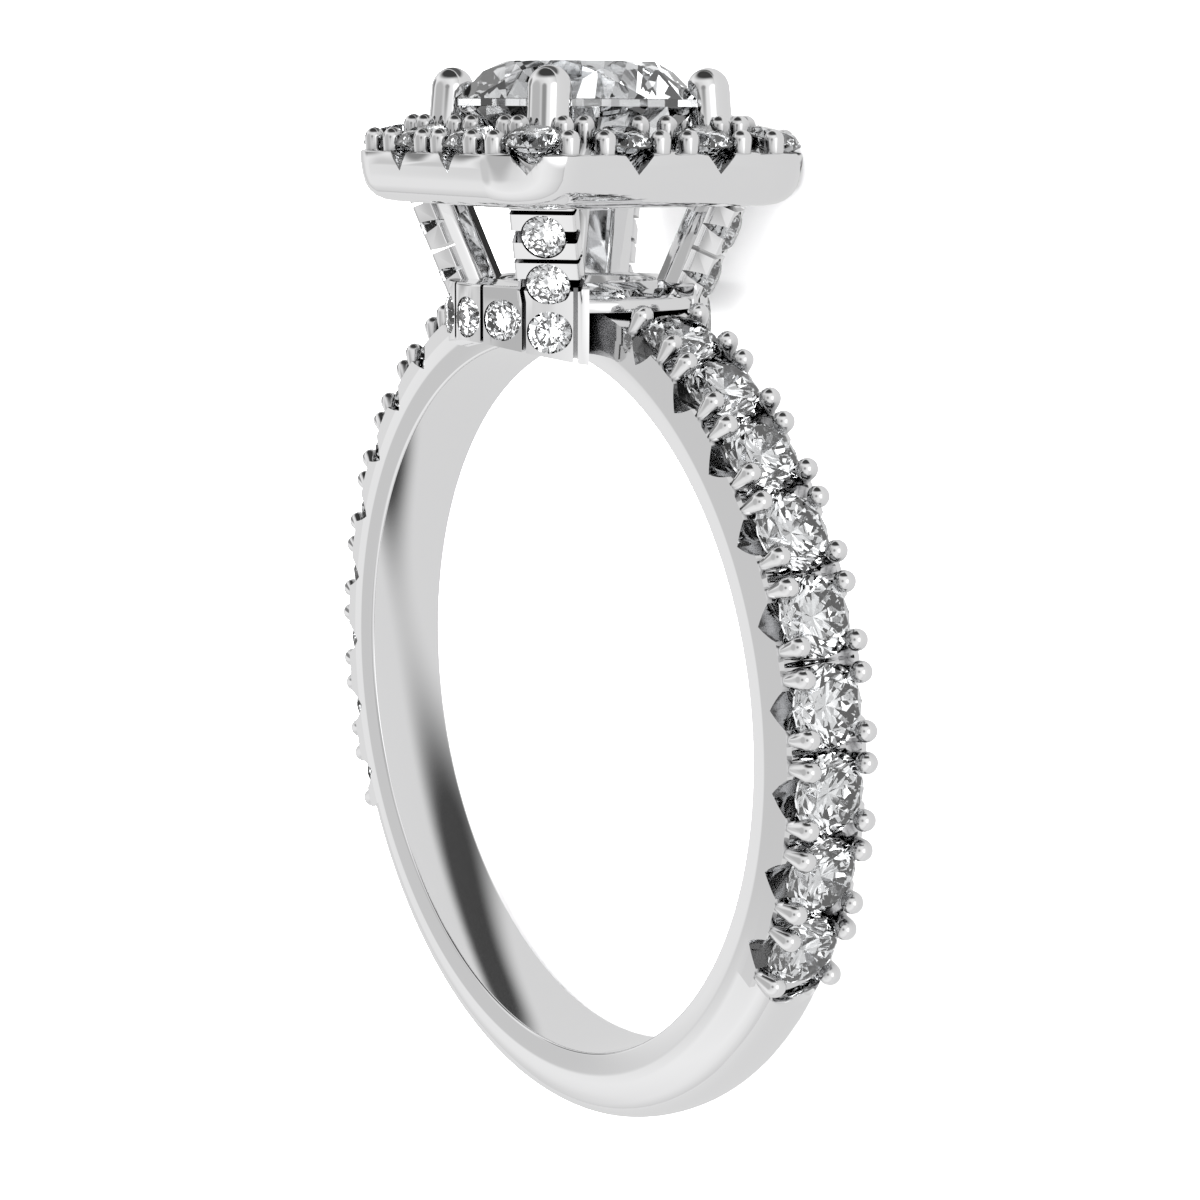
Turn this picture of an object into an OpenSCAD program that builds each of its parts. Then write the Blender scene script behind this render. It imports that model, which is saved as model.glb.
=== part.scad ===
// Halo ring with claw-set shoulders, lying on its side.
// The finger hole is centred on the origin and the head points along +Y.

/* [Band] */
// Diameter of the finger hole
bore_d = 16.5; // [15.5:0.1:18.5]
// Width of the finger hole's wall
bore_w = 1.97; // [1.8:0.01:2.2]
// Width of the band across its side faces
band_w = 2.1; // [2:0.05:2.4]
// Thickness of the plain part of the band
band_t = 1.65; // [1.6:0.05:2]
// Depth of the bevel between the finger hole and a side face
bevel = 0.5; // [0.3:0.05:0.6]

/* [Shank stones] */
// Diameter of one shank stone
shank_stone_d = 1.76; // [1.5:0.02:1.78]
// Stones set in each shoulder
shank_stones = 9; // [5:1:9]
// Angle from the top of the ring to the first shank stone
shank_start = 25.6; // [25:0.2:28]
// Space between neighbouring shank stones
shank_gap = 0.07; // [0.05:0.01:0.2]
// Depth of the pointed arch under each shank stone, below the stone's edge
arch_depth = 0.6; // [0.4:0.02:0.62]
// Angle between the arch's axis and its side at the point
arch_angle = 50; // [40:1:60]
// Width of the arch's curve at its widest
arch_w = 1.3; // [1:0.02:1.3]
// Diameter of one shank claw's bead
shank_bead_d = 0.46; // [0.36:0.02:0.46]
// Diameter of one shank claw's foot
shank_foot_d = 0.28; // [0.24:0.02:0.34]
// Angle of a shank claw around its stone, from the band's line
shank_claw_angle = 50; // [47:1:53]

/* [Head] */
// Diameter of the centre stone
center_stone_d = 5.5; // [5:0.1:6]
// Height of the centre stone's table above the halo's underside
table_h = 3.13; // [3:0.05:3.6]
// Diameter of one claw of the centre stone
claw_d = 1; // [0.9:0.02:1.04]
// Width of a leg
leg_w = 1.44; // [1.2:0.04:1.5]
// Thickness of a leg
leg_t = 1.1; // [1:0.05:1.2]
// Depth of the bevel along a leg's two inner edges
leg_bevel = 0.3; // [0.1:0.05:0.4]
// Height of a leg between the collar and the halo
leg_h = 1.72; // [1.6:0.02:2]
// Lean of a leg from upright
leg_lean = 23; // [19:0.5:24]
// Length of a leg that one stone takes
leg_cell = 1.14; // [1.1:0.02:1.2]
// Diameter of one leg or collar stone
small_stone_d = 0.96; // [0.8:0.02:0.96]

/* [Halo] */
// Width of the halo across two opposite sides
halo_w = 8.1; // [7.9:0.1:8.6]
// Corner radius of the halo
halo_corner = 1.6; // [1.5:0.05:1.9]
// Height of the halo's outer wall
halo_h = 1.14; // [1:0.02:1.3]
// Diameter of one halo stone
halo_stone_d = 1.3; // [1.1:0.05:1.35]
// Outward tilt of a halo stone
halo_tilt = 14; // [8:1:18]
// Diameter of one halo bead
halo_bead_d = 0.46; // [0.38:0.02:0.48]
// Space between a corner stone's inner bead and the bead beside it
halo_bead_space = 0.065; // [0.05:0.005:0.1]
// Width of the V-shaped opening in the rim in front of a halo stone
halo_notch_w = 0.76; // [0.6:0.02:0.9]
// Depth of that opening
halo_notch_t = 0.42; // [0.3:0.02:0.5]

/* [Gallery] */
// Outer diameter of the collar
collar_d = 5.9; // [5.6:0.1:6]
// Wall of the collar
collar_t = 0.85; // [0.7:0.05:0.95]
// Height of the collar's top above the finger hole's wall
collar_h = 1.45; // [1.35:0.05:1.6]
// Angle of a collar's wall to each side of its middle
collar_arc = 62; // [59:1:69]
// Angle between neighbouring collar stones
collar_step = 22.5; // [21:0.5:23]
// Diameter of the hole in the base ring
base_hole_d = 3.5; // [3:0.1:3.8]
// Width of a decorative groove
groove_w = 0.07; // [0.05:0.01:0.1]
// Depth of a groove in the collar
groove_t = 0.3; // [0.1:0.05:0.35]
// Depth of a groove across a leg
leg_groove_t = 0.6; // [0.3:0.05:0.65]
// Height of the cut through a leg beside each of its stones
leg_cut_h = 0.32; // [0.2:0.02:0.4]

/* [Cut of the stones] */
// Table width as a share of the diameter
table_ratio = 0.58; // [0.53:0.01:0.62]
// Crown height as a share of the diameter
crown_ratio = 0.15; // [0.13:0.005:0.16]
// Girdle height as a share of the diameter
girdle_ratio = 0.03; // [0.02:0.005:0.04]
// Pavilion depth as a share of the diameter
pavilion_ratio = 0.43; // [0.4:0.005:0.44]
// Space between a stone and the metal that holds it
seat_gap = 0.03; // [0.02:0.005:0.05]

/* [Hidden] */
bore_r = bore_d / 2;
outer_r = bore_r + band_t;
corner_r = outer_r - 0.75;
corner_h = band_w / 2 - 0.02;
// shank stones sit with their tables just under the plain band's surface
shank_girdle_r = outer_r - 0.03 - crown_ratio * shank_stone_d;
shank_pitch = 2 * asin((shank_stone_d + shank_gap) / 2 / shank_girdle_r);
shank_last = shank_start + (shank_stones - 1) * shank_pitch;
shank_end = shank_last + shank_pitch / 2;
saddle_r = shank_girdle_r - 0.12;
shank_bead_r = outer_r - 0.03;
stem_foot_r = saddle_r - 0.08;
claw_reach = shank_stone_d / 2 + shank_bead_d / 2 - 0.16;
// the round step where the plain band starts clears the last stone's claws
shank_step_r = claw_reach + shank_bead_d / 2 + 0.05;
shoulder_a = shank_start - 14;
// the head
collar_top = bore_r + collar_h;
collar_r = collar_d / 2;
flat_z = collar_top - 0.48;
halo_z = collar_top + leg_h;
halo_half = halo_w / 2;
halo_flat = halo_half - halo_corner;
halo_rim_z = halo_z + halo_h;
halo_edge_z = halo_z + halo_h * 0.83;
halo_top_z = halo_rim_z + 0.34;
halo_line = halo_stone_d / 2 + 0.01;
halo_girdle_z = halo_rim_z + 0.32;
halo_line_r = halo_corner - halo_line;
halo_quarter = halo_flat + halo_line_r * 45 * PI / 180;
halo_pitch = halo_quarter / 1.5;
halo_reach = halo_stone_d / 2 + 0.06 * (halo_pitch - halo_stone_d);
halo_inner_s = halo_pitch / 2 + halo_reach + halo_bead_d + halo_bead_space;
table_z = halo_z + table_h;
center_girdle_z = table_z - crown_ratio * center_stone_d;
claw_rho = center_stone_d / 2 + claw_d / 2 - 0.19;
claw_top_z = table_z - 0.12;
leg_foot = [collar_r + 0.09, 0, collar_top];
leg_l = leg_h / cos(leg_lean);
leg_grooves = [leg_l - 0.1, leg_l - 0.1 - leg_cell];
leg_stones = [for (z = leg_grooves) z - leg_cell / 2];
collar_stone_z = collar_top - 0.75;
foot_stone_z = collar_top - 0.98;
collar_relief = 0.18;
// lying on its side, the halo's lower edge and the band's lower edge touch the table
lie = atan((halo_half - corner_h) / (halo_edge_z + corner_r));
function two(k) = k < 10 ? str("0", k) : str(k);
SIDES = ["right", "left"];
// curves of metal are true curves in the built solids, and this is their preview
$fn = 48;

// from the upright ring, with the head along +Z, to the ring on its side
module laid() {
    rotate([lie, 0, 0]) children();
}
module upright() {
    laid() rotate([-90, 0, 0]) children();
}
// a place on a shoulder, with +Y outward, turned from the top towards +X
module on_shank(turn) {
    rotate([0, 0, -turn]) children();
}
function halo_xy(s, inset) =
    abs(s) <= halo_flat
        ? [halo_half - inset, s]
        : let (turn = (abs(s) - halo_flat) / halo_line_r * 180 / PI)
            [halo_flat + (halo_corner - inset) * cos(turn),
             sign(s) * (halo_flat + (halo_corner - inset) * sin(turn))];
function halo_turn(s) =
    abs(s) <= halo_flat ? 0 : sign(s) * (abs(s) - halo_flat) / halo_line_r * 180 / PI;
// the three stones of one side: two on the flat and one at the corner
halo_stations = [-halo_pitch / 2, halo_pitch / 2, halo_quarter];
module on_halo(k) {
    s = halo_stations[k % 3];
    rotate([0, 0, 90 * floor(k / 3)])
        translate([halo_xy(s, halo_line)[0], halo_xy(s, halo_line)[1], halo_girdle_z])
            rotate([0, 0, halo_turn(s)]) children();
}
// a place on a leg's outer face, with +X out of the face and +Z up the leg
module on_leg(k) {
    rotate([0, 0, 45 + 90 * k]) translate(leg_foot) rotate([0, leg_lean, 0]) children();
}
// a place on the collar's outer wall, with +X outward
module on_collar(turn, z) {
    rotate([0, 0, turn]) translate([collar_r, 0, z]) children();
}

// round brilliant with its girdle's upper edge at z = 0 and its table up
module brilliant(d) {
    r = d / 2;
    table_r = r * table_ratio / cos(22.5);
    crown = d * crown_ratio;
    girdle = d * girdle_ratio;
    pavilion = d * pavilion_ratio;
    star_r = (table_r * cos(22.5) + r) / 2;
    star_z = crown * (r - star_r * cos(22.5)) / (r - table_r);
    low_r = r * 0.23;
    low_z = -girdle - pavilion * (r - low_r * cos(22.5)) / r;
    function ring(n, radius, turn, z) =
        [for (i = [0 : n - 1]) [radius * cos(turn + i * 360 / n), radius * sin(turn + i * 360 / n), z]];
    points = concat(
        ring(8, table_r, 0, crown), ring(8, star_r, 22.5, star_z), ring(16, r, 0, 0),
        ring(16, r, 0, -girdle), ring(8, low_r, 22.5, low_z), [[0, 0, -girdle - pavilion]]
    );
    star = 8;
    top = 16;
    bottom = 32;
    low = 48;
    culet = 56;
    faces = concat(
        [[for (i = [7 : -1 : 0]) i]],
        [for (i = [0 : 7]) [i, (i + 1) % 8, star + i]],
        [for (i = [0 : 7]) [i, star + i, top + 2 * i]],
        [for (i = [0 : 7]) [i, top + 2 * i, star + (i + 7) % 8]],
        [for (i = [0 : 7]) [star + i, top + 2 * i + 1, top + 2 * i]],
        [for (i = [0 : 7]) [star + i, top + (2 * i + 2) % 16, top + 2 * i + 1]],
        [for (i = [0 : 15]) [top + i, top + (i + 1) % 16, bottom + (i + 1) % 16, bottom + i]],
        [for (i = [0 : 7]) [low + i, bottom + 2 * i, bottom + 2 * i + 1]],
        [for (i = [0 : 7]) [low + i, bottom + 2 * i + 1, bottom + (2 * i + 2) % 16]],
        [for (i = [0 : 7]) [culet, bottom + 2 * i, low + i]],
        [for (i = [0 : 7]) [culet, low + (i + 7) % 8, bottom + 2 * i]]
    );
    polyhedron(points = points, faces = faces);
}
// the space that a stone and its gap take out of the metal
module seat(d) {
    r = d / 2 + seat_gap;
    girdle = d * girdle_ratio;
    rotate_extrude()
        polygon([
            [0, -girdle - d * pavilion_ratio - 2 * seat_gap],
            [r, -girdle - seat_gap],
            [r, seat_gap / 2],
            [d / 2 * table_ratio + seat_gap, d * crown_ratio + seat_gap],
            [0, d * crown_ratio + seat_gap]
        ]);
}
module on_shank_stone(side, k) {
    sgn = side == "right" ? 1 : -1;
    on_shank(sgn * (shank_start + (k - 1) * shank_pitch))
        translate([0, shank_girdle_r, 0]) rotate([-90, 0, 0]) children();
}

// a straight stem between two points
module stem(from, to, d1, d2) {
    v = to - from;
    translate(from)
        rotate([0, acos(v[2] / norm(v)), atan2(v[1], v[0])]) cylinder(h = norm(v), d1 = d1, d2 = d2);
}
module band_blank() {
    half = band_w / 2;
    side = [
        [bore_r, bore_w / 2], [bore_r + bevel, half], [corner_r, corner_h],
        [outer_r - 0.3, half - 0.2], [outer_r - 0.08, half - 0.5], [outer_r, half - 0.85]
    ];
    rotate_extrude()
        polygon(concat(
            [for (p = side) [p[0], -p[1]]],
            [for (i = [5 : -1 : 0]) side[i]]
        ));
}
// the space between two equal arcs that meet in a point at the origin and open along +Y
module pointed(width, angle) {
    curve_r = width / 2 / (1 - cos(angle));
    intersection() {
        translate([curve_r * cos(angle), curve_r * sin(angle)]) circle(r = curve_r);
        translate([-curve_r * cos(angle), curve_r * sin(angle)]) circle(r = curve_r);
    }
}
module arch() {
    translate([0, shank_girdle_r - arch_depth, 0])
        linear_extrude(height = band_w + 1, center = true) pointed(arch_w, arch_angle);
}
module band() {
    difference() {
        union() {
            band_blank();
            for (sgn = [1, -1])
                rotate_extrude(start = sgn > 0 ? 90 - shank_end : 90 + shoulder_a, angle = shank_end - shoulder_a)
                    polygon([
                        [corner_r - 0.4, -corner_h + 0.3], [corner_r - 0.02, -corner_h], [saddle_r + 0.1, -corner_h],
                        [saddle_r + 0.1, corner_h], [corner_r - 0.02, corner_h], [corner_r - 0.4, corner_h - 0.3]
                    ]);
        }
        for (sgn = [1, -1]) {
            rotate_extrude(start = sgn > 0 ? 90 - shank_last : 90 + shoulder_a, angle = shank_last - shoulder_a)
                translate([saddle_r, -band_w]) square([band_t, 2 * band_w]);
            on_shank(sgn * shank_last) translate([0, saddle_r - 0.03, 0])
                rotate([-90, 0, 0]) cylinder(r = shank_step_r, h = band_t);
        }
        translate([-outer_r / 2, flat_z, -band_w]) cube([outer_r, outer_r, 2 * band_w]);
        for (sgn = [1, -1], k = [0 : shank_stones - 1])
            on_shank(sgn * (shank_start + k * shank_pitch)) arch();
    }
}
// the four claws of one shank stone
module shank_claws() {
    for (a = [1, -1], b = [1, -1]) {
        along = a * claw_reach * cos(shank_claw_angle);
        bead = [along, shank_bead_r, b * claw_reach * sin(shank_claw_angle)];
        foot = [along, stem_foot_r, b * (corner_h - shank_foot_d / 2 - 0.02)];
        stem(foot, bead, shank_foot_d, shank_bead_d - 0.04);
        translate(bead) sphere(d = shank_bead_d);
    }
}
module base_ring() {
    rotate_extrude()
        polygon([
            [base_hole_d / 2, flat_z - 0.07], [collar_r - 0.05, flat_z - 0.07],
            [collar_r - 0.05, flat_z + 0.18], [collar_r - 0.4, flat_z + 0.4],
            [collar_r - 0.85, flat_z + 0.54], [base_hole_d / 2, flat_z + 0.5]
        ]);
}
module collar() {
    for (side = [90, 270])
        rotate_extrude(start = side - collar_arc, angle = 2 * collar_arc)
            translate([collar_r - collar_t, bore_r - 0.7])
                square([collar_t, collar_top - bore_r + 0.7]);
}
module leg(k) {
    half = leg_w / 2;
    on_leg(k) translate([0, 0, -0.9])
        linear_extrude(height = leg_l + 1.2)
            polygon([
                [0, -half], [0, half], [leg_bevel - leg_t, half], [-leg_t, half - leg_bevel],
                [-leg_t, leg_bevel - half], [leg_bevel - leg_t, -half]
            ]);
}
module gallery_metal() {
    difference() {
        union() {
            base_ring();
            collar();
            for (k = [0 : 3]) leg(k);
        }
        rotate([90, 0, 0]) cylinder(r = bore_r + collar_relief, h = 2 * collar_d, center = true);
        for (k = [0 : 3], z = leg_grooves)
            on_leg(k) translate([-leg_groove_t, -leg_w, z - groove_w / 2])
                cube([2 * leg_groove_t, 2 * leg_w, groove_w]);
        for (k = [0 : 3], z = leg_stones)
            on_leg(k) translate([-leg_groove_t, 0, z]) rotate([90, 0, 0])
                linear_extrude(height = leg_w + 0.1, center = true)
                    rotate(-90) pointed(leg_cut_h, 20);
        for (side = [90, 270], i = [-2.5 : 2.5])
            rotate([0, 0, side + i * collar_step])
                translate([collar_r - groove_t, -groove_w / 2, bore_r - 1])
                    cube([2 * groove_t, groove_w, collar_h + 1]);
    }
}
module halo_blank() {
    section = [
        [0, halo_z], [halo_corner - 0.75, halo_z], [halo_corner - 0.35, halo_z + 0.12],
        [halo_corner - 0.08, halo_z + halo_h * 0.44], [halo_corner, halo_edge_z],
        [halo_corner, halo_rim_z], [halo_corner - 1.35, halo_top_z], [0, halo_top_z]
    ];
    translate([-halo_flat, -halo_flat, halo_z])
        cube([2 * halo_flat, 2 * halo_flat, halo_top_z - halo_z]);
    for (k = [0 : 3]) rotate([0, 0, 90 * k]) {
        translate([halo_flat, halo_flat, 0]) rotate_extrude(angle = 90) polygon(section);
        translate([halo_flat, halo_flat, 0]) rotate([90, 0, 0])
            linear_extrude(height = 2 * halo_flat) polygon(section);
    }
}
// the V-shaped opening in the rim in front of one halo stone
module rim_notch() {
    translate([halo_line + 0.3, 0, halo_rim_z - halo_girdle_z])
        rotate([0, -90, 0])
            linear_extrude(height = 0.9)
                polygon([
                    [-halo_notch_t, 0],
                    [halo_notch_t, halo_notch_w],
                    [halo_notch_t, -halo_notch_w]
                ]);
}
module halo_bead(s, inset, top) {
    p = halo_xy(s, inset);
    translate([p[0], p[1], halo_rim_z - 0.3])
        cylinder(d = halo_bead_d - 0.03, h = top - halo_bead_d / 2 - halo_rim_z + 0.3);
    translate([p[0], p[1], top - halo_bead_d / 2]) sphere(d = halo_bead_d);
}
module halo_beads() {
    for (k = [0 : 3]) rotate([0, 0, 90 * k]) {
        for (s = [-halo_pitch / 2 - halo_reach, -halo_pitch / 2 + halo_reach,
                  halo_pitch / 2 - halo_reach, halo_pitch / 2 + halo_reach]) {
            halo_bead(s, 0.26, halo_rim_z + 0.52);
            halo_bead(s, 1.08, halo_rim_z + 0.82);
        }
        for (s = [-halo_quarter + 0.6, halo_quarter - 0.6]) halo_bead(s, 0.26, halo_rim_z + 0.52);
        for (s = [-halo_inner_s, halo_inner_s]) halo_bead(s, 1.08, halo_rim_z + 0.82);
    }
}
module center_claws() {
    for (k = [0 : 3]) rotate([0, 0, 45 + 90 * k]) {
        tip = [claw_rho - 0.13, 0, claw_top_z - claw_d / 2];
        stem([claw_rho + 0.04, 0, halo_z + 0.4], tip, claw_d - 0.04, claw_d - 0.04);
        translate(tip) sphere(d = claw_d);
    }
}
module shoulders() {
    difference() {
        union() {
            band();
            for (sgn = [1, -1], k = [0 : shank_stones - 1])
                on_shank(sgn * (shank_start + k * shank_pitch)) shank_claws();
        }
        for (side = SIDES, k = [1 : shank_stones]) on_shank_stone(side, k) seat(shank_stone_d);
    }
}
module gallery() {
    difference() {
        gallery_metal();
        gallery_places() seat(small_stone_d);
    }
}
module halo() {
    difference() {
        union() {
            halo_blank();
            halo_beads();
            center_claws();
        }
        cylinder(r = center_stone_d / 2 * 0.8, h = 2 * table_z);
        for (k = [0 : 11]) on_halo(k) {
            rotate([0, halo_tilt, 0]) seat(halo_stone_d);
            rim_notch();
        }
        translate([0, 0, center_girdle_z]) seat(center_stone_d);
    }
}
module ring_mount() {
    color("gainsboro") {
        laid() shoulders();
        upright() gallery();
        upright() halo();
    }
}
// every leg and collar stone's place, with +Z out of the metal
module gallery_places() {
    for (k = [0 : 3], z = leg_stones)
        on_leg(k) translate([-0.02, 0, z]) rotate([0, 90, 0]) children();
    for (side = [90, 270], i = [-2 : 2])
        on_collar(side + i * collar_step, abs(i) == 2 ? foot_stone_z : collar_stone_z)
            translate([-0.06, 0, 0]) rotate([0, 90, 0]) children();
}
module center_stone() {
    color("lightcyan") upright() translate([0, 0, center_girdle_z]) brilliant(center_stone_d);
}
module halo_stone(k) {
    color("azure") upright() on_halo(k - 1) rotate([0, halo_tilt, 0]) brilliant(halo_stone_d);
}
module shank_stone(side, k) {
    color("azure") laid() on_shank_stone(side, k) brilliant(shank_stone_d);
}
module gallery_stones() {
    color("azure") upright() gallery_places() brilliant(small_stone_d);
}

ring_mount();
center_stone();
gallery_stones();
for (k = [1 : 12])
    halo_stone(k);
for (side = SIDES, k = [1 : shank_stones])
    shank_stone(side, k);
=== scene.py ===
import math

import bmesh
import bpy
from mathutils import Matrix, Vector


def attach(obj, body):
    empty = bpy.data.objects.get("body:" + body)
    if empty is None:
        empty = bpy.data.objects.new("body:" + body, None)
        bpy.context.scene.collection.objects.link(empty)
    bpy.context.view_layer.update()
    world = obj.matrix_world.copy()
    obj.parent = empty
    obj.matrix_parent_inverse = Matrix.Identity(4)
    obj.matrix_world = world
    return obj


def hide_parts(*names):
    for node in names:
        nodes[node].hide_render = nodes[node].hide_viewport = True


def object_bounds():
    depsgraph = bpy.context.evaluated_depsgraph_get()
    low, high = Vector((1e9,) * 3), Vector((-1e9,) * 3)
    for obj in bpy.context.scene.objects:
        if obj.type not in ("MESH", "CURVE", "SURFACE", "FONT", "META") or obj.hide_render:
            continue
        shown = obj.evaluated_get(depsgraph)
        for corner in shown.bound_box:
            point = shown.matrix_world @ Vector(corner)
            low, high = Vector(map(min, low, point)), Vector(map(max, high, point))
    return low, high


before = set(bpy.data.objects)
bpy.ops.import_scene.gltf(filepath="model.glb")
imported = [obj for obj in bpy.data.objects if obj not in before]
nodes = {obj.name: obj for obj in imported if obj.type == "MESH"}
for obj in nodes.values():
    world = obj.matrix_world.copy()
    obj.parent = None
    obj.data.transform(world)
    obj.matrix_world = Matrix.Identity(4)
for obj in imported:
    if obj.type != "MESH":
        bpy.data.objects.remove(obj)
cadBox = [list(corner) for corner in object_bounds()]
print("frame loaded:", len(nodes), "nodes")

# Two spaces in millimetres: lathe space has the finger hole along Z and the head along Y, upright space has
# the head along Z. The ring lies on its side, and leans on the edges of its halo and its band.
lie = {"lean": 7.98998, "mm": 0.001}
lathePlace = Matrix.Rotation(math.radians(lie["lean"]), 4, "X") @ Matrix.Scale(lie["mm"], 4)
uprightPlace = Matrix.Rotation(math.radians(lie["lean"] - 90), 4, "X") @ Matrix.Scale(lie["mm"], 4)
still = Matrix.Identity(4)


def turned(degrees, axis="Z"):
    return Matrix.Rotation(math.radians(degrees), 4, axis)


def moved(x, y, z):
    return Matrix.Translation((x, y, z))


# the camera, in the upright ring's millimetres and degrees; focus is the lens's length over the sensor's width
shot = {"azimuth": 33.23, "elevation": 10.84, "roll": 0.33, "distance": 60.1, "aimRight": 0.55, "aimUp": 2.22,
        "focus": 2560 / 1200, "sensor": 36, "near": 0.002, "far": 10}


def addCamera():
    az, el, roll = (math.radians(shot[k]) for k in ("azimuth", "elevation", "roll"))
    back = Vector((math.cos(el) * math.cos(az), -math.cos(el) * math.sin(az), math.sin(el)))
    right = Vector((math.sin(az), math.cos(az), 0))
    up = back.cross(right)
    right, up = right * math.cos(roll) + up * math.sin(roll), up * math.cos(roll) - right * math.sin(roll)
    spot = right * shot["aimRight"] + up * shot["aimUp"] + back * shot["distance"]
    toPart = uprightPlace.to_3x3().normalized()
    axes = [toPart @ v for v in (right, up, back)]
    place = Matrix.Identity(4)
    for i, axis in enumerate(axes):
        for j in range(3):
            place[j][i] = axis[j]
    place.translation = uprightPlace @ spot
    lens = bpy.data.cameras.new("camera")
    lens.sensor_width = shot["sensor"]
    lens.lens = shot["focus"] * shot["sensor"]
    lens.clip_start = shot["near"]
    lens.clip_end = shot["far"]
    camera = bpy.data.objects.new("camera", lens)
    camera.matrix_world = place
    bpy.context.collection.objects.link(camera)
    bpy.context.scene.camera = camera


addCamera()


def lathe(section, start=0.0, sweep=360.0, steps=360):
    # turns a closed section of (radius, height) points about Z
    whole = sweep >= 360
    rows, n = (steps if whole else steps + 1), len(section)
    verts, faces = [], []
    for i in range(rows):
        a = math.radians(start + sweep * i / steps)
        verts += [(r * math.cos(a), r * math.sin(a), z) for r, z in section]
    for i in range(steps):
        j = (i + 1) % rows
        for k in range(n):
            m = (k + 1) % n
            faces.append((i * n + k, j * n + k, j * n + m, i * n + m))
    if not whole:
        faces.append(tuple(range(n - 1, -1, -1)))
        faces.append(tuple(steps * n + k for k in range(n)))
    return verts, faces


def prism(outline, low, high):
    # raises an outline of (x, y) points along Z
    n = len(outline)
    verts = [(x, y, low) for x, y in outline] + [(x, y, high) for x, y in outline]
    faces = [(k, (k + 1) % n, n + (k + 1) % n, n + k) for k in range(n)]
    return verts, faces + [tuple(range(n - 1, -1, -1)), tuple(range(n, 2 * n))]


def block(x0, x1, y0, y1, z0, z1):
    return prism([(x0, y0), (x1, y0), (x1, y1), (x0, y1)], z0, z1)


def drop(foot, tip, footR, tipR, around=20, rings=9):
    # a round-ended stem from foot to tip
    foot, tip = Vector(foot), Vector(tip)
    length = (tip - foot).length
    lean = math.asin(max(-1, min(1, (footR - tipR) / length)))
    quarter, footRings = math.pi / 2, 5
    row = [(0, -footR)]
    for i in range(1, footRings + 1):
        a = lean - quarter + quarter * i / footRings
        row.append((footR * math.cos(a), footR * math.sin(a)))
    for i in range(rings):
        a = lean + (quarter - lean) * i / rings
        row.append((tipR * math.cos(a), length + tipR * math.sin(a)))
    row.append((0, length + tipR))
    verts, faces = [(0, 0, row[0][1])], []
    spokes = [2 * math.pi * k / around for k in range(around)]
    for r, z in row[1:-1]:
        verts += [(r * math.cos(a), r * math.sin(a), z) for a in spokes]
    verts.append((0, 0, row[-1][1]))
    count = len(row) - 2
    for k in range(around):
        m = (k + 1) % around
        faces.append((0, 1 + m, 1 + k))
        for i in range(count - 1):
            a, b = 1 + i * around, 1 + (i + 1) * around
            faces.append((a + k, a + m, b + m, b + k))
        last = 1 + (count - 1) * around
        faces.append((last + k, last + m, len(verts) - 1))
    place = Matrix.Translation(foot) @ (tip - foot).to_track_quat("Z", "Y").to_matrix().to_4x4()
    return [tuple(place @ Vector(v)) for v in verts], faces


def fillet(points, radii, steps):
    # rounds the corners of a closed outline; a fillet takes less than half of each edge beside it
    out, n, most, straight = [], len(points), 0.49, 0.01
    for i, p in enumerate(points):
        radius = radii[i]
        p, a, b = Vector(p), Vector(points[i - 1]), Vector(points[(i + 1) % n])
        u, v = (a - p).normalized(), (b - p).normalized()
        half = math.acos(max(-1, min(1, u.dot(v)))) / 2
        if radius <= 0 or half > math.pi / 2 - straight:
            out.append(tuple(p))
            continue
        reach = min(radius / math.tan(half), most * (a - p).length, most * (b - p).length)
        middle = p + (u + v).normalized() * (reach / math.cos(half))
        s, e = p + u * reach - middle, p + v * reach - middle
        turn = s.angle_signed(e)
        for k in range(steps + 1):
            t = -turn * k / steps
            c, d = math.cos(t), math.sin(t)
            out.append((middle.x + s.x * c - s.y * d, middle.y + s.x * d + s.y * c))
    return out


def twin(points, radii, steps):
    # a filleted outline that is the same on both sides of y = 0, from one side's points
    return fillet(points + [(x, -y) for x, y in points[::-1]], radii + radii[::-1], steps)


def pointed(width, angle, steps=20):
    # two equal arcs that meet in a point at the origin and open along +Y
    a = math.radians(angle)
    r = width / 2 / (1 - math.cos(a))
    right = [(-r * math.cos(a) + r * math.cos(t), r * math.sin(a) + r * math.sin(t))
             for t in [-a + 2 * a * k / steps for k in range(steps + 1)]]
    return right + [(-x, y) for x, y in right[-2:0:-1]]


def gather(name, parts):
    # joins several closed shapes, each with its own place, in one mesh, and merges doubled points
    merge, tiny = 1e-5, 1e-6
    verts, faces = [], []
    for (vs, fs), place in parts:
        base = len(verts)
        verts += [tuple(place @ Vector(v)) for v in vs]
        faces += [tuple(base + k for k in f) for f in fs]
    mesh = bpy.data.meshes.new(name)
    mesh.from_pydata(verts, [], faces)
    bm = bmesh.new()
    bm.from_mesh(mesh)
    bmesh.ops.remove_doubles(bm, verts=bm.verts, dist=merge)
    bmesh.ops.dissolve_degenerate(bm, dist=tiny, edges=bm.edges)
    bmesh.ops.recalc_face_normals(bm, faces=bm.faces)
    bm.to_mesh(mesh)
    bm.free()
    piece = bpy.data.objects.new(name, mesh)
    bpy.context.collection.objects.link(piece)
    return piece


def bake(piece):
    # applies a piece's modifiers
    graph = bpy.context.evaluated_depsgraph_get()
    mesh = bpy.data.meshes.new_from_object(piece.evaluated_get(graph))
    piece.modifiers.clear()
    piece.data = mesh
    mesh.name = piece.name


def carve(piece, tools, how="DIFFERENCE"):
    # cuts the tools out of a piece, or joins them to it, and removes them
    for tool in tools:
        change = piece.modifiers.new("carve", "BOOLEAN")
        change.operation = how
        change.solver = "MANIFOLD"
        change.object = tool
    bake(piece)
    for tool in tools:
        bpy.data.objects.remove(tool)


edges = {"bevelFrom": 40, "sharpFrom": 35, "segments": 2}


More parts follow.
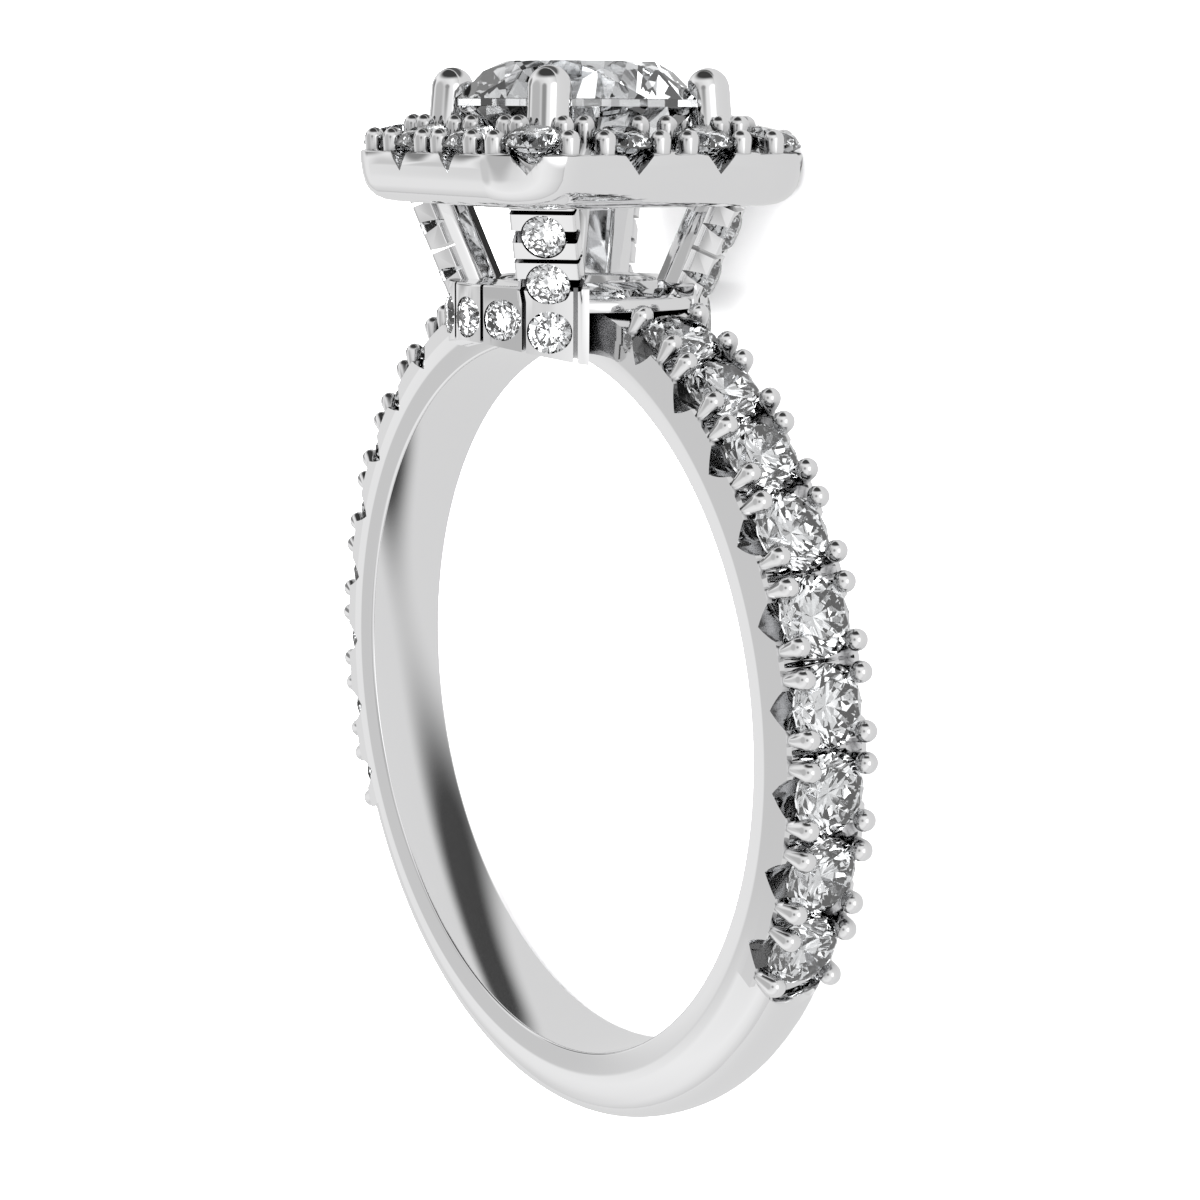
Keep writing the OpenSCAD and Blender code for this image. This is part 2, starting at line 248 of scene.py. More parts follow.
def dress(piece, place, finish, soften=0.0, even=False):
    # soft edges and smooth shading, then the piece goes to its place in metres
    if soften:
        edge = piece.modifiers.new("soften", "BEVEL")
        edge.width = soften
        edge.segments = edges["segments"]
        edge.limit_method = "ANGLE"
        edge.angle_limit = math.radians(edges["bevelFrom"])
        edge.use_clamp_overlap = True
        bake(piece)
    piece.data.transform(place)
    piece.data.shade_smooth()
    piece.data.set_sharp_from_angle(angle=math.radians(edges["sharpFrom"]))
    if even or soften:
        flat = piece.modifiers.new("even", "WEIGHTED_NORMAL")
        flat.keep_sharp = True
        bake(piece)
    piece.data.materials.clear()
    piece.data.materials.append(finish)
    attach(piece, "root")
    print(piece.name, len(piece.data.polygons), "faces")


def newGroup(name, ins, outs):
    group = bpy.data.node_groups.new(name, "ShaderNodeTree")
    for label, value in ins:
        kind = "NodeSocketVector" if isinstance(value, tuple) else "NodeSocketFloat"
        group.interface.new_socket(label, in_out="INPUT", socket_type=kind).default_value = value
    for label in outs:
        group.interface.new_socket(label, in_out="OUTPUT", socket_type="NodeSocketFloat")
    return group, group.nodes.new("NodeGroupInput"), group.nodes.new("NodeGroupOutput")


def polishGroup():
    # faint wheel marks and a slow change of gloss, as a polished casting has
    ins = [("Scale", 900.0), ("Gloss", 0.06), ("Spread", 0.05)]
    group, into, out = newGroup("polish", ins, ["Roughness", "Height"])
    link, finer = group.links.new, 14
    place = group.nodes.new("ShaderNodeTexCoord")
    slow = group.nodes.new("ShaderNodeTexNoise")
    slow.inputs["Detail"].default_value = 3
    fine = group.nodes.new("ShaderNodeTexNoise")
    fine.inputs["Detail"].default_value = 2
    more = group.nodes.new("ShaderNodeMath")
    more.operation = "MULTIPLY"
    more.inputs[1].default_value = finer
    link(place.outputs["Object"], slow.inputs["Vector"])
    link(place.outputs["Object"], fine.inputs["Vector"])
    link(into.outputs["Scale"], slow.inputs["Scale"])
    link(into.outputs["Scale"], more.inputs[0])
    link(more.outputs[0], fine.inputs["Scale"])
    rough = group.nodes.new("ShaderNodeMath")
    rough.operation = "MULTIPLY_ADD"
    link(slow.outputs["Fac"], rough.inputs[0])
    link(into.outputs["Spread"], rough.inputs[1])
    link(into.outputs["Gloss"], rough.inputs[2])
    link(rough.outputs[0], out.inputs["Roughness"])
    link(fine.outputs["Fac"], out.inputs["Height"])
    return group


def paintedShadeGroup():
    # painted shade: darkens the colour in narrow places, where a polished casting mirrors only itself
    group, into, out = newGroup("paintedShade", [("Reach", 0.0003), ("Open", 0.4), ("Depth", 0.9)], ["Shade"])
    link, closed = group.links.new, 0.1
    near = group.nodes.new("ShaderNodeAmbientOcclusion")
    near.samples = 8
    soft = group.nodes.new("ShaderNodeMapRange")
    soft.inputs["From Max"].default_value = closed
    link(into.outputs["Reach"], near.inputs["Distance"])
    link(near.outputs["AO"], soft.inputs["Value"])
    link(into.outputs["Open"], soft.inputs["From Min"])
    link(into.outputs["Depth"], soft.inputs["To Max"])
    link(soft.outputs[0], out.inputs["Shade"])
    return group


polish = polishGroup()
paintedShade = paintedShadeGroup()
# the metal's colour, gloss and marks, and the dark colour and depth of the shade painted into its narrow
# places
metalLook = {"color": (0.9, 0.9, 0.905, 1), "scale": 260, "gloss": 0.03, "spread": 0.05, "bump": 0.02,
             "bumpHeight": 0.00001, "depth": 0.9, "paintedShade": (0.05, 0.05, 0.055, 1)}
gemLook = {"color": (0.97, 0.985, 1.0, 1), "ior": 2.42}


def whiteGold(name, reach, clear):
    # polished metal with painted shade in its base colour where less than the clear share of the air within
    # reach is free
    finish = bpy.data.materials.new(name)
    finish.use_nodes = True
    tree = finish.node_tree
    shader = tree.nodes["Principled BSDF"]
    shader.inputs["Metallic"].default_value = 1
    marks = tree.nodes.new("ShaderNodeGroup")
    marks.node_tree = polish
    marks.inputs["Scale"].default_value = metalLook["scale"]
    marks.inputs["Gloss"].default_value = metalLook["gloss"]
    marks.inputs["Spread"].default_value = metalLook["spread"]
    paintedShadeNode = tree.nodes.new("ShaderNodeGroup")
    paintedShadeNode.node_tree = paintedShade
    paintedShadeNode.inputs["Reach"].default_value = reach
    paintedShadeNode.inputs["Open"].default_value = clear
    paintedShadeNode.inputs["Depth"].default_value = metalLook["depth"]
    # painted shade: the base colour goes toward the dark colour as the mask rises
    mix = tree.nodes.new("ShaderNodeMix")
    mix.data_type = "RGBA"
    mix.inputs[6].default_value = metalLook["color"]
    mix.inputs[7].default_value = metalLook["paintedShade"]
    tree.links.new(paintedShadeNode.outputs["Shade"], mix.inputs[0])
    tree.links.new(mix.outputs[2], shader.inputs["Base Color"])
    bump = tree.nodes.new("ShaderNodeBump")
    bump.inputs["Strength"].default_value = metalLook["bump"]
    bump.inputs["Distance"].default_value = metalLook["bumpHeight"]
    tree.links.new(marks.outputs["Roughness"], shader.inputs["Roughness"])
    tree.links.new(marks.outputs["Height"], bump.inputs["Height"])
    tree.links.new(bump.outputs["Normal"], shader.inputs["Normal"])
    return finish


def diamond(name):
    finish = bpy.data.materials.new(name)
    finish.use_nodes = True
    shader = finish.node_tree.nodes["Principled BSDF"]
    shader.inputs["Base Color"].default_value = gemLook["color"]
    shader.inputs["Roughness"].default_value = 0
    shader.inputs["IOR"].default_value = gemLook["ior"]
    shader.inputs["Transmission Weight"].default_value = 1
    return finish


# three copies of one metal that differ only in their painted shade: wider on the head, and on the beads and
# claws darker toward the metal they stand on
metal = whiteGold("whiteGold", reach=0.0003, clear=0.4)
headMetal = whiteGold("whiteGoldHead", reach=0.0009, clear=0.45)
beadMetal = whiteGold("whiteGoldBeads", reach=0.0006, clear=0.95)
centerGem = diamond("centerDiamond")
smallGem = diamond("smallDiamond")
print("materials made")

# the cut of a stone, as shares of its diameter, and the space between a stone and its seat
cut = {"table": 0.58, "crown": 0.15, "girdle": 0.03, "pavilion": 0.43, "gap": 0.03}


def seatShape(d, steps):
    # the space that a stone and its gap take out of the metal, with the girdle's upper edge at Z = 0
    gap, girdle = cut["gap"], cut["girdle"] * d
    r, tableR, top = d / 2 + gap, d / 2 * cut["table"] + gap, d * cut["crown"] + gap
    low = -girdle - d * cut["pavilion"] - 2 * gap
    return lathe([(0, low), (r, -girdle - gap), (r, gap / 2), (tableR, top), (0, top)], steps=steps)


# The band's outlines run from the finger hole outward on one side, with a fillet for each point. Its plain
# parts and its parts with stones lap a little, and a flat block is cut away under the base ring.
band = {"plain": [(8.25, -0.985), (8.75, -1.05), (9.15, -1.03), (9.6, -0.85), (9.82, -0.55), (9.9, -0.2)],
        "plainFillets": [0.07, 0.5, 1.2, 1.0, 0.9, 1.5],
        "set": [(8.25, -0.985), (8.75, -1.05), (9.13, -1.03), (9.486, -1.03)],
        "setFillets": [0.07, 0.5, 0.5, 0.0], "filletSteps": 5, "saddleR": 9.486, "shoulder": 11.6, "lap": 0.1,
        "channelR": 9.3, "channelHalf": 0.62, "channelTop": 11, "flatBlock": (-5, 5, 9.22, 12, -3, 3),
        "stepR": 1.23, "stepSink": 0.03,
        "stepRise": [(-0.03, 0), (0, 0.12), (0.05, 0.26), (0.16, 0.38), (0.4, 0.47), (0.4, 2)]}
shank = {"d": 1.76, "count": 9, "start": 25.6, "girdleR": 9.606, "gap": 0.07, "archDepth": 0.6, "archW": 1.3,
         "archAngle": 50, "archHalf": 1.6, "gapR": 9.24, "gapW": 0.3, "gapAngle": 60, "gapHalf": 0.9}
shank["pitch"] = 2 * math.degrees(math.asin((shank["d"] + shank["gap"]) / 2 / shank["girdleR"]))
shank["last"] = shank["start"] + (shank["count"] - 1) * shank["pitch"]
shank["end"] = shank["last"] + shank["pitch"] / 2


def shankAngles(count, shift=0.0):
    # the turns of the stones of both shoulders, or with a shift of the places between them
    return [side * (shank["start"] + (k + shift) * shank["pitch"]) for side in (1, -1) for k in range(count)]


def onShank(angle, r=0.0):
    # lathe space, a place on a shoulder with Y outward
    return turned(-angle) @ moved(0, r, 0)


def makeBand():
    plain = twin(band["plain"], band["plainFillets"], band["filletSteps"])
    pave = twin(band["set"], band["setFillets"], band["filletSteps"])
    lap, shoulder, last = band["lap"], band["shoulder"], shank["last"]
    paved = shank["end"] - shoulder
    sweeps = [
        (plain, 90 - lap + last, 360 + 2 * lap - 2 * last, 260),
        (plain, 90 - lap - shoulder, 2 * shoulder + 2 * lap, 90),
        (pave, 90 - shank["end"], paved, 220), (pave, 90 + shoulder, paved, 220),
    ]
    rings = [gather("band" + str(i), [(lathe(*sweep), still)]) for i, sweep in enumerate(sweeps)]
    piece = rings[0]
    piece.name = "bandMetal"
    carve(piece, rings[1:], "UNION")
    arch = prism(pointed(shank["archW"], shank["archAngle"]), -shank["archHalf"], shank["archHalf"])
    gap = prism(pointed(shank["gapW"], shank["gapAngle"]), -shank["gapHalf"], shank["gapHalf"])
    seat = seatShape(shank["d"], 48)
    h, c, top, r = band["channelHalf"], band["channelR"], band["channelTop"], band["stepR"]
    channel = [(c, -h), (top, -h), (top, h), (c, h)]
    channelArc = last - shank["start"]
    step = lathe([(0, 0)] + [(r + out, up) for out, up in band["stepRise"]] + [(0, 2)], steps=72)
    stepAt, outward = band["saddleR"] - band["stepSink"], turned(-90, "X")
    stones = shankAngles(shank["count"])
    groups = {
        "flat": [(block(*band["flatBlock"]), still)],
        "arches": [(arch, onShank(a, shank["girdleR"] - shank["archDepth"])) for a in stones],
        "gaps": [(gap, onShank(a, shank["gapR"])) for a in shankAngles(shank["count"] - 1, 0.5)],
        "seats": [(seat, onShank(a, shank["girdleR"]) @ outward) for a in stones],
        "channels": [(lathe(channel, a, channelArc, 160), still) for a in (90 - last, 90 + shank["start"])],
        "steps": [(step, onShank(side * last, stepAt) @ outward) for side in (1, -1)],
    }
    carve(piece, [gather(name, parts) for name, parts in groups.items()])
    dress(piece, lathePlace, metal, even=True)
    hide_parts("ring_mount")


def makeShankClaws():
    claw = {"reach": 0.95, "angle": 50, "beadR": 0.24, "footR": 0.12, "beadAt": 9.84, "footAt": 9.47,
            "footY": 0.88}
    across = claw["reach"] * math.cos(math.radians(claw["angle"]))
    beadY = claw["reach"] * math.sin(math.radians(claw["angle"]))
    shapes = []
    for a in (1, -1):
        for b in (1, -1):
            foot = (a * across, claw["footAt"], b * claw["footY"])
            tip = (a * across, claw["beadAt"], b * beadY)
            shapes.append(drop(foot, tip, claw["footR"], claw["beadR"]))
    stones = shankAngles(shank["count"])
    piece = gather("shankClaws", [(shape, onShank(a)) for a in stones for shape in shapes])
    dress(piece, lathePlace, beadMetal)


makeBand()
makeShankClaws()

# the gallery: base ring, collars and legs
gallery = {"baseRing": [(1.75, 9.15), (2.9, 9.15), (2.9, 9.4), (2.5, 9.62), (2.1, 9.76), (1.75, 9.72)],
           "baseFillets": [0.02, 0.02, 0.15, 0.3, 0.2, 0.06], "filletSteps": 4, "relief": 8.43,
           "reliefHalf": 6, "collarR": 2.95, "collarT": 0.85, "collarLow": 7.55, "collarTop": 9.7,
           "collarFillet": 0.06, "arc": 62, "step": 22.5, "slotDepth": 0.3, "slotLow": 7, "groove": 0.1,
           "stoneD": 0.96, "stoneZ": 8.95, "footZ": 8.72, "stoneSink": 0.06, "soften": 0.018}
# a leg's section, from the middle of its outer face inwards on one side, with a fillet for each point
leg = {"w": 1.44, "lean": 23, "h": 1.72, "cell": 1.14, "out": 0.09, "low": -0.9, "over": 0.2,
       "firstGroove": 0.1, "grooveDepth": 0.6, "cutH": 0.32, "cutAngle": 20, "cutOver": 0.05,
       "side": [(0, 0), (-0.46, 0), (-0.5, 0.09), (-0.57, 0.03), (-0.85, 0.1), (-1.1, 0.4)],
       "fillets": [0.06, 0.05, 0.01, 0.05, 0.25, 0.2], "filletSteps": 5, "stoneSink": 0.02}
leg["l"] = leg["h"] / math.cos(math.radians(leg["lean"]))
leg["grooves"] = [leg["l"] - leg["firstGroove"], leg["l"] - leg["firstGroove"] - leg["cell"]]
leg["stones"] = [z - leg["cell"] / 2 for z in leg["grooves"]]


def onLeg(k):
    # upright space, a place on a leg's outer face with X outward and Z up the leg
    foot = moved(gallery["collarR"] + leg["out"], 0, gallery["collarTop"])
    return turned(45 + 90 * k) @ foot @ turned(leg["lean"], "Y")


def galleryPlaces():
    # every leg and collar stone's place, with Z out of the metal
    out = turned(90, "Y")
    places = [onLeg(k) @ moved(-leg["stoneSink"], 0, z) @ out for k in range(4) for z in leg["stones"]]
    for side in (90, 270):
        for i in range(-2, 3):
            z = gallery["footZ"] if abs(i) == 2 else gallery["stoneZ"]
            spot = moved(gallery["collarR"] - gallery["stoneSink"], 0, z)
            places.append(turned(side + i * gallery["step"]) @ spot @ out)
    return places


def makeGallery():
    r, t, top = gallery["collarR"], gallery["collarT"], gallery["collarTop"]
    low, soft, arc = gallery["collarLow"], gallery["collarFillet"], gallery["arc"]
    steps = gallery["filletSteps"]
    ring = fillet(gallery["baseRing"], gallery["baseFillets"], steps)
    wall = fillet([(r - t, low), (r, low), (r, top), (r - t, top)], [0, 0, soft, soft], steps)
    walls = [(side, lathe(wall, side - arc, 2 * arc, 120)) for side in (90, 270)]
    shapes = [gather("collar" + str(side), [(shape, still)]) for side, shape in walls]
    outline = [(x, leg["w"] / 2 - inset) for x, inset in leg["side"]]
    section = twin(outline, leg["fillets"], leg["filletSteps"])
    bar = prism(section, leg["low"], leg["l"] + leg["over"])
    shapes += [gather("leg" + str(k), [(bar, onLeg(k))]) for k in range(4)]
    piece = gather("galleryMetal", [(lathe(ring, steps=180), still)])
    carve(piece, shapes, "UNION")
    relief, half = gallery["relief"], gallery["reliefHalf"]
    hole = lathe([(0, -half), (relief, -half), (relief, half), (0, half)], steps=360)
    depth, g, w, slotDepth = leg["grooveDepth"], gallery["groove"], leg["w"], gallery["slotDepth"]
    outline, reach = pointed(leg["cutH"], leg["cutAngle"]), w / 2 + leg["cutOver"]
    notch = prism([(y, -x) for x, y in outline], -reach, reach)
    inNotch = turned(90, "X")
    slot = block(r - slotDepth, r + slotDepth, -g / 2, g / 2, gallery["slotLow"], top)
    seat = seatShape(gallery["stoneD"], 40)
    groups = {
        "hole": [(hole, turned(90, "X"))],
        "grooves": [(block(-depth, depth, -w, w, z - g / 2, z + g / 2), onLeg(k))
                    for k in range(4) for z in leg["grooves"]],
        "cuts": [(notch, onLeg(k) @ moved(-depth, 0, z) @ inNotch) for k in range(4) for z in leg["stones"]],
        "slots": [(slot, turned(side + (i - 2.5) * gallery["step"])) for side in (90, 270) for i in range(6)],
        "seats": [(seat, place) for place in galleryPlaces()],
    }
    carve(piece, [gather(name, parts) for name, parts in groups.items()])
    dress(piece, uprightPlace, headMetal, gallery["soften"])


makeGallery()

# the halo: its wall's outline in distances inward from the halo's edge and heights above its underside
halo = {"half": 4.05, "corner": 1.6, "low": 11.42, "rim": 12.56, "top": 12.9, "inner": 1.58,
        "wall": [(1.58, 0), (0.75, 0), (0.55, 0.035), (0.37, 0.11), (0.22, 0.23), (0.11, 0.4), (0.048, 0.62),
                 (0.018, 0.83), (0, 0.95)],
        "edge": 0.03, "slope": 1.35, "hole": (2.2, 10, 14), "cornerSteps": 40, "stoneD": 1.3, "inset": 0.01,
        "girdle": 0.32, "tilt": 14, "notchW": 0.76, "notchT": 0.42, "notchL": 0.9, "notchOut": 0.3,
        "soften": 0.018}
halo["flat"] = halo["half"] - halo["corner"]
halo["line"] = halo["stoneD"] / 2 + halo["inset"]
halo["lineR"] = halo["corner"] - halo["line"]
halo["quarter"] = halo["flat"] + halo["lineR"] * math.pi / 4
halo["pitch"] = halo["quarter"] / 1.5


def haloTurn(s):
    # the turn of a place that lies s along the stones' line from the middle of a side
    beyond = abs(s) - halo["flat"]
    return 0 if beyond <= 0 else math.copysign(math.degrees(beyond / halo["lineR"]), s)


def haloSpot(s, inset):
    if abs(s) <= halo["flat"]:
        return halo["half"] - inset, s
    a = math.radians(abs(haloTurn(s)))
    r = halo["corner"] - inset
    return halo["flat"] + r * math.cos(a), math.copysign(halo["flat"] + r * math.sin(a), s)


def onHalo(k):
    # upright space, a halo stone's place with X outward, before the stone's tilt
    s = [-halo["pitch"] / 2, halo["pitch"] / 2, halo["quarter"]][k % 3]
    x, y = haloSpot(s, halo["line"])
    return turned(90 * (k // 3)) @ moved(x, y, halo["rim"] + halo["girdle"]) @ turned(haloTurn(s))


def makeHalo():
    rim, edge, count = halo["rim"], halo["edge"], halo["cornerSteps"]
    row = [(inset, halo["low"] + up) for inset, up in halo["wall"]]
    row += [(0, rim - edge), (edge, rim), (halo["slope"], halo["top"]), (halo["inner"], halo["top"])]
    stations = [(quarter, 90 * i / count) for quarter in range(4) for i in range(count + 1)]
    verts, faces = [], []
    for quarter, angle in stations:
        c, s = math.cos(math.radians(angle)), math.sin(math.radians(angle))
        spin = turned(90 * quarter)
        for inset, z in row:
            r = halo["corner"] - inset
            verts.append(tuple(spin @ Vector((halo["flat"] + r * c, halo["flat"] + r * s, z))))
    n, m = len(row), len(stations)
    for i in range(m):
        j = (i + 1) % m
        faces += [(i * n + k, j * n + k, j * n + k + 1, i * n + k + 1) for k in range(n - 1)]
    faces += [tuple(i * n for i in range(m)), tuple(i * n + n - 1 for i in range(m))]
    piece = gather("haloPlate", [((verts, faces), still)])
    r, low, high = halo["hole"]
    hole = lathe([(0, low), (r, low), (r, high), (0, high)], steps=120)
    seat = seatShape(halo["stoneD"], 40)
    t, w = halo["notchT"], halo["notchW"]
    notch = prism([(-t, 0), (t, w), (t, -w)], 0, halo["notchL"])
    toNotch = moved(halo["line"] + halo["notchOut"], 0, -halo["girdle"]) @ turned(-90, "Y")
    groups = {
        "hole": [(hole, still)],
        "seats": [(seat, onHalo(k) @ turned(halo["tilt"], "Y")) for k in range(12)],
        "notches": [(notch, onHalo(k) @ toNotch) for k in range(12)],
    }
    carve(piece, [gather(name, parts) for name, parts in groups.items()])
    dress(piece, uprightPlace, metal, halo["soften"])


def makeHaloBeads():
    # each bead has a place along the halo, a distance inward from its edge and a height above its rim
    beads = {"r": 0.23, "taper": 0.02, "sunk": 0.1, "outer": (0.26, 0.52), "inner": (1.08, 0.82),
             "past": 0.05, "cornerOuter": 0.6, "cornerInner": 0.9, "around": 24, "rings": 8}
    reach, p, q, r = halo["stoneD"] / 2 + beads["past"], halo["pitch"] / 2, halo["quarter"], beads["r"]
    spots = [(s, kind) for s in (-p - reach, -p + reach, p - reach, p + reach) for kind in ("outer", "inner")]
    spots += [(s, "outer") for s in (beads["cornerOuter"] - q, q - beads["cornerOuter"])]
    spots += [(s, "inner") for s in (beads["cornerInner"] - q, q - beads["cornerInner"])]
    parts = []
    for k in range(4):
        for s, kind in spots:
            inset, up = beads[kind]
            x, y = haloSpot(s, inset)
            foot, tip = (x, y, halo["rim"] - beads["sunk"]), (x, y, halo["rim"] + up - r)
            shape = drop(foot, tip, r - beads["taper"], r, beads["around"], beads["rings"])
            parts.append((shape, turned(90 * k)))
    dress(gather("haloBeads", parts), uprightPlace, beadMetal)


def makeCenterClaws():
    claw = {"low": (3.1, 0, 11.9), "high": (2.93, 0, 13.935), "lowR": 0.495, "highR": 0.485, "around": 40,
            "rings": 16, "stoneD": 5.5, "girdleZ": 13.725, "soften": 0.015}
    shape = drop(claw["low"], claw["high"], claw["lowR"], claw["highR"], claw["around"], claw["rings"])
    piece = gather("centerClaws", [(shape, turned(45 + 90 * k)) for k in range(4)])
    carve(piece, [gather("centerSeat", [(seatShape(claw["stoneD"], 120), moved(0, 0, claw["girdleZ"]))])])
    dress(piece, uprightPlace, metal, claw["soften"])


makeHalo()
makeHaloBeads()
makeCenterClaws()

# the model's own nodes keep their shapes and get the finishes
finishes = {"ring_mount": metal, "center_stone": centerGem}
for name, node in nodes.items():
    for place in node.material_slots:
        place.material = finishes.get(name, smallGem)
print("stones finished")

# floor, light and air; the floor's and the air's tones differ for the camera, for the floor and for the metal
studio = {"floor": 0.16, "floorSides": 96, "floorBelow": 0.00001, "floorColor": (0.9, 0.9, 0.905, 1),
          "floorRoughness": 0.8, "cameraAir": 1.0, "floorAir": 4.0, "paintedFloorGlow": 0.7}
keyLight = {"spot": (0.05, -0.05, 0.3), "target": (0, 0, 0), "size": (0.35, 0.35), "power": 1.2}


def aim(azimuth, elevation):
    # a direction of length 1
    az, el = math.radians(azimuth), math.radians(elevation)
    return math.cos(el) * math.cos(az), math.cos(el) * math.sin(az), math.sin(el)


def aimed(spots):
    # azimuth, elevation, edge and core in degrees, and the tone, as spots on the sphere of directions
    return [(aim(az, el), 2 * math.sin(math.radians(edge / 2)), 2 * math.sin(math.radians(core / 2)), value)
            for az, el, edge, core, value in spots]


# the air that the metal mirrors: its tones from the ground to the zenith, as (height, tone), and its patches
mirrorSky = [(-1, 0.4), (-0.05, 0.5), (0.0, 0.68), (0.28, 0.85), (0.5, 0.92), (0.8, 0.82), (1, 0.65)]
mirrorPatches = aimed([
    (192, 72, 34, 18, 0.5), (99, 8, 50, 28, 0.05), (8, 60, 18, 6, 0.3), (8, 8, 26, 14, 1.3),
    (170, 24, 16, 8, 0.25), (197, 16, 14, 6, 0.84), (199, 38, 18, 7, 0.62),
])
# painted shade: the dark spots that the floor's glow shows the metal, with middle, edge and core in metres,
# and the tone
paintedShadeSpots = [
    ((-0.0048, -0.0030, 0.0), 0.0030, 0.0009, 0.04), ((-0.0060, 0.0115, 0.0), 0.0035, 0.0020, 0.02),
    ((-0.0140, 0.0500, 0.0), 0.0310, 0.0230, 0.08),
]
# the air that the stones bend
sparkleSky = [(-1, 0.3), (0.0, 0.45), (0.3, 0.95), (0.6, 1.6), (1, 1.5)]
sparklePatches = aimed([
    (40, 60, 20, 16, 0.03), (150, 50, 22, 18, 0.04), (250, 55, 20, 16, 0.05), (330, 40, 18, 14, 0.05),
    (0, 85, 10, 8, 0.1), (90, 30, 16, 12, 2.2), (200, 35, 16, 12, 2.4), (300, 65, 12, 10, 2.2),
])


def spotGroup():
    # how far a place or a direction lies inside a soft round spot
    ins = [("Place", (0.0, 0.0, 0.0)), ("Middle", (0.0, 0.0, 1.0)), ("Edge", 0.6), ("Core", 0.3)]
    group, into, out = newGroup("softSpot", ins, ["Mask"])
    near = group.nodes.new("ShaderNodeVectorMath")
    near.operation = "DISTANCE"
    soft = group.nodes.new("ShaderNodeMapRange")
    soft.interpolation_type = "SMOOTHSTEP"
    link = group.links.new
    link(into.outputs["Place"], near.inputs[0])
    link(into.outputs["Middle"], near.inputs[1])
    link(near.outputs["Value"], soft.inputs["Value"])
    link(into.outputs["Edge"], soft.inputs["From Min"])
    link(into.outputs["Core"], soft.inputs["From Max"])
    link(soft.outputs[0], out.inputs["Mask"])
    return group


softSpot = spotGroup()


def spotted(tree, place, base, spots):
    # lays soft spots of their own tone over a tone, one after another
    tone = base
    for middle, edge, core, value in spots:
        spot = tree.nodes.new("ShaderNodeGroup")
        spot.node_tree = softSpot
        tree.links.new(place, spot.inputs["Place"])
        spot.inputs["Middle"].default_value = middle
        spot.inputs["Edge"].default_value = edge
        spot.inputs["Core"].default_value = core
        mix = tree.nodes.new("ShaderNodeMix")
        tree.links.new(spot.outputs["Mask"], mix.inputs[0])
        if isinstance(tone, float):
            mix.inputs[2].default_value = tone
        else:
            tree.links.new(tone, mix.inputs[2])
        mix.inputs[3].default_value = value
        tone = mix.outputs[0]
    return tone


def addFloor():
    mesh = bpy.data.meshes.new("floor")
    bm = bmesh.new()
    bmesh.ops.create_circle(bm, cap_ends=True, segments=studio["floorSides"], radius=studio["floor"])
    bm.to_mesh(mesh)
    bm.free()
    floor = bpy.data.objects.new("floor", mesh)
    floor.location.z = cadBox[0][2] - studio["floorBelow"]
    bpy.context.collection.objects.link(floor)
    finish = bpy.data.materials.new("paleFloor")
    finish.use_nodes = True
    tree = finish.node_tree
    shader = tree.nodes["Principled BSDF"]
    shader.inputs["Roughness"].default_value = studio["floorRoughness"]
    place = tree.nodes.new("ShaderNodeTexCoord")
    # for mirror rays the floor's colour is black and it glows instead, a painted reflection of the floor
    ray = tree.nodes.new("ShaderNodeLightPath")
    mix = tree.nodes.new("ShaderNodeMix")
    mix.data_type = "RGBA"
    mix.inputs[6].default_value = studio["floorColor"]
    mix.inputs[7].default_value = (0, 0, 0, 1)
    tree.links.new(ray.outputs["Is Glossy Ray"], mix.inputs[0])
    tree.links.new(mix.outputs[2], shader.inputs["Base Color"])
    # metal mirrors this glow: an even tone with a few soft dark spots of painted shade, without the floor's
    # real shadows
    tone = spotted(tree, place.outputs["Object"], studio["paintedFloorGlow"], paintedShadeSpots)
    tree.links.new(tone, shader.inputs["Emission Color"])
    tree.links.new(ray.outputs["Is Glossy Ray"], shader.inputs["Emission Strength"])
    finish.cycles.emission_sampling = "NONE"
    mesh.materials.append(finish)


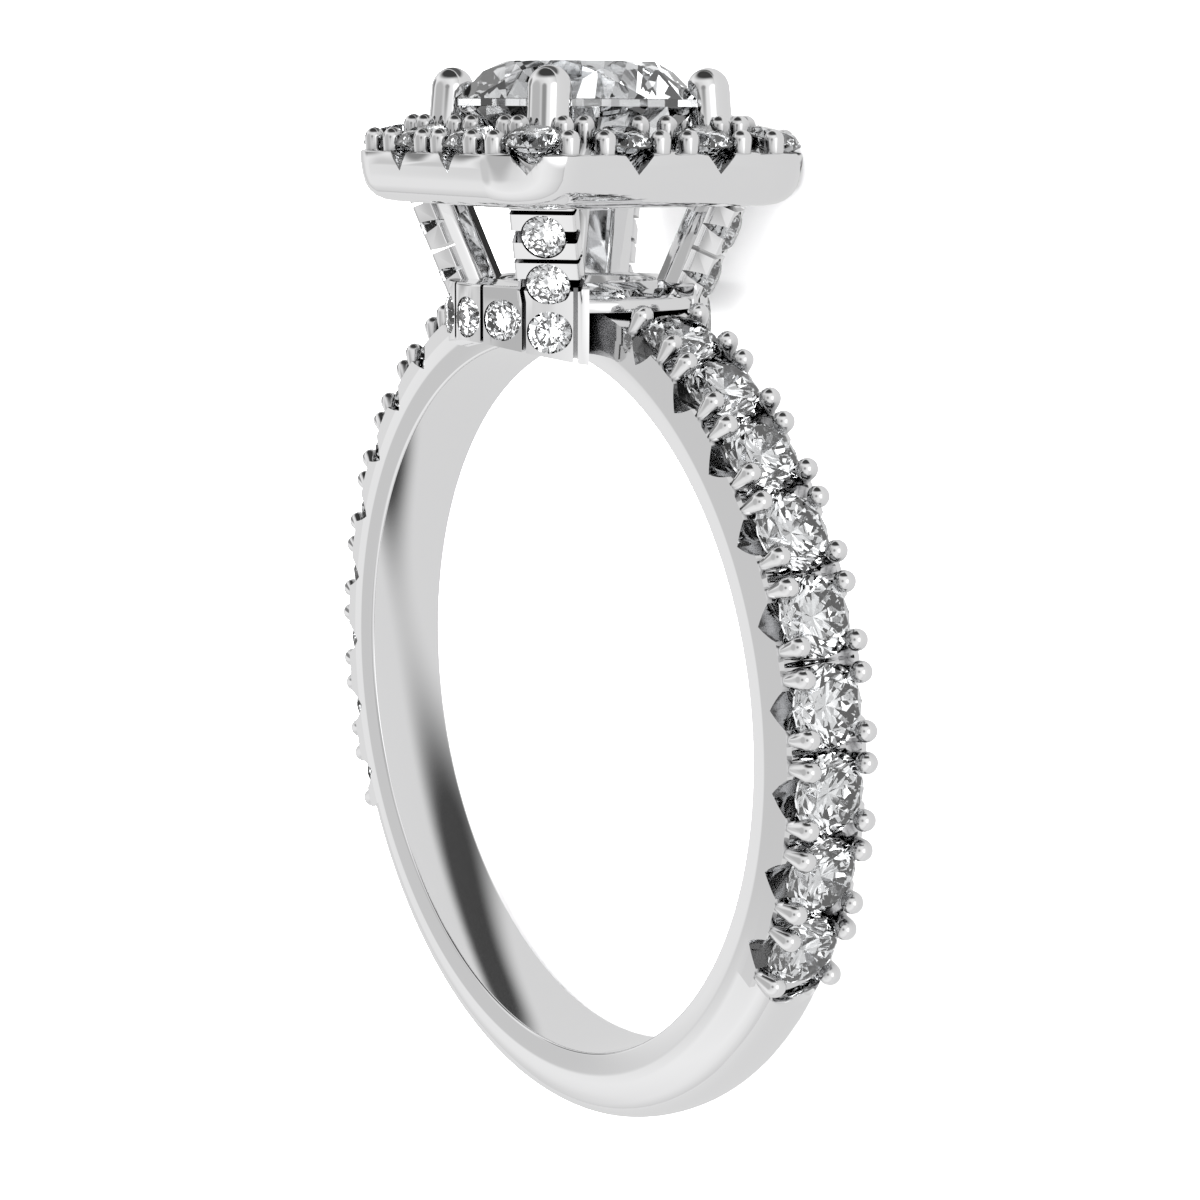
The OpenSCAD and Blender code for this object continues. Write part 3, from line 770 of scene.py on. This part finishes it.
def addLight(name, spot, target, size, power):
    # a soft box that the metal doesn't mirror
    light = bpy.data.lights.new(name, "AREA")
    light.shape = "RECTANGLE"
    light.size, light.size_y = size
    light.energy = power
    lamp = bpy.data.objects.new(name, light)
    lamp.location = spot
    lamp.rotation_euler = (Vector(spot) - Vector(target)).to_track_quat("Z", "Y").to_euler()
    lamp.visible_glossy = False
    bpy.context.collection.objects.link(lamp)


def addAir():
    # pale air for the floor and the camera, and air with bands and patches for the metal and the stones
    world = bpy.data.worlds.new("studio")
    world.use_nodes = True
    world.cycles.sampling_method = "NONE"
    bpy.context.scene.world = world
    tree = world.node_tree
    link = tree.links.new
    air = tree.nodes["Background"]
    way = tree.nodes.new("ShaderNodeTexCoord")
    split = tree.nodes.new("ShaderNodeSeparateXYZ")
    link(way.outputs["Generated"], split.inputs[0])
    lift = tree.nodes.new("ShaderNodeMapRange")
    lift.inputs["From Min"].default_value = -1
    link(split.outputs["Z"], lift.inputs["Value"])

    def ramp(stops):
        node = tree.nodes.new("ShaderNodeValToRGB")
        link(lift.outputs[0], node.inputs["Fac"])
        band = node.color_ramp.elements
        while len(band) > 1:
            band.remove(band[0])
        band[0].position = (stops[0][0] + 1) / 2
        band[0].color = (stops[0][1], stops[0][1], stops[0][1], 1)
        for where, value in stops[1:]:
            stop = band.new((where + 1) / 2)
            stop.color = (value, value, value, 1)
        return node.outputs["Color"]

    def blend(mask, a, b):
        node = tree.nodes.new("ShaderNodeMix")
        link(mask, node.inputs[0])
        for k, value in ((2, a), (3, b)):
            if isinstance(value, float):
                node.inputs[k].default_value = value
            else:
                link(value, node.inputs[k])
        return node.outputs[0]

    mirrored = spotted(tree, way.outputs["Generated"], ramp(mirrorSky), mirrorPatches)
    inside = spotted(tree, way.outputs["Generated"], ramp(sparkleSky), sparklePatches)
    ray = tree.nodes.new("ShaderNodeLightPath")
    tone = blend(ray.outputs["Is Glossy Ray"], studio["floorAir"], mirrored)
    tone = blend(ray.outputs["Is Transmission Ray"], tone, inside)
    tone = blend(ray.outputs["Is Camera Ray"], tone, studio["cameraAir"])
    link(tone, air.inputs["Color"])


addFloor()
addAir()
addLight("key", **keyLight)
bpy.context.scene.view_settings.view_transform = "Standard"
print("studio lit")
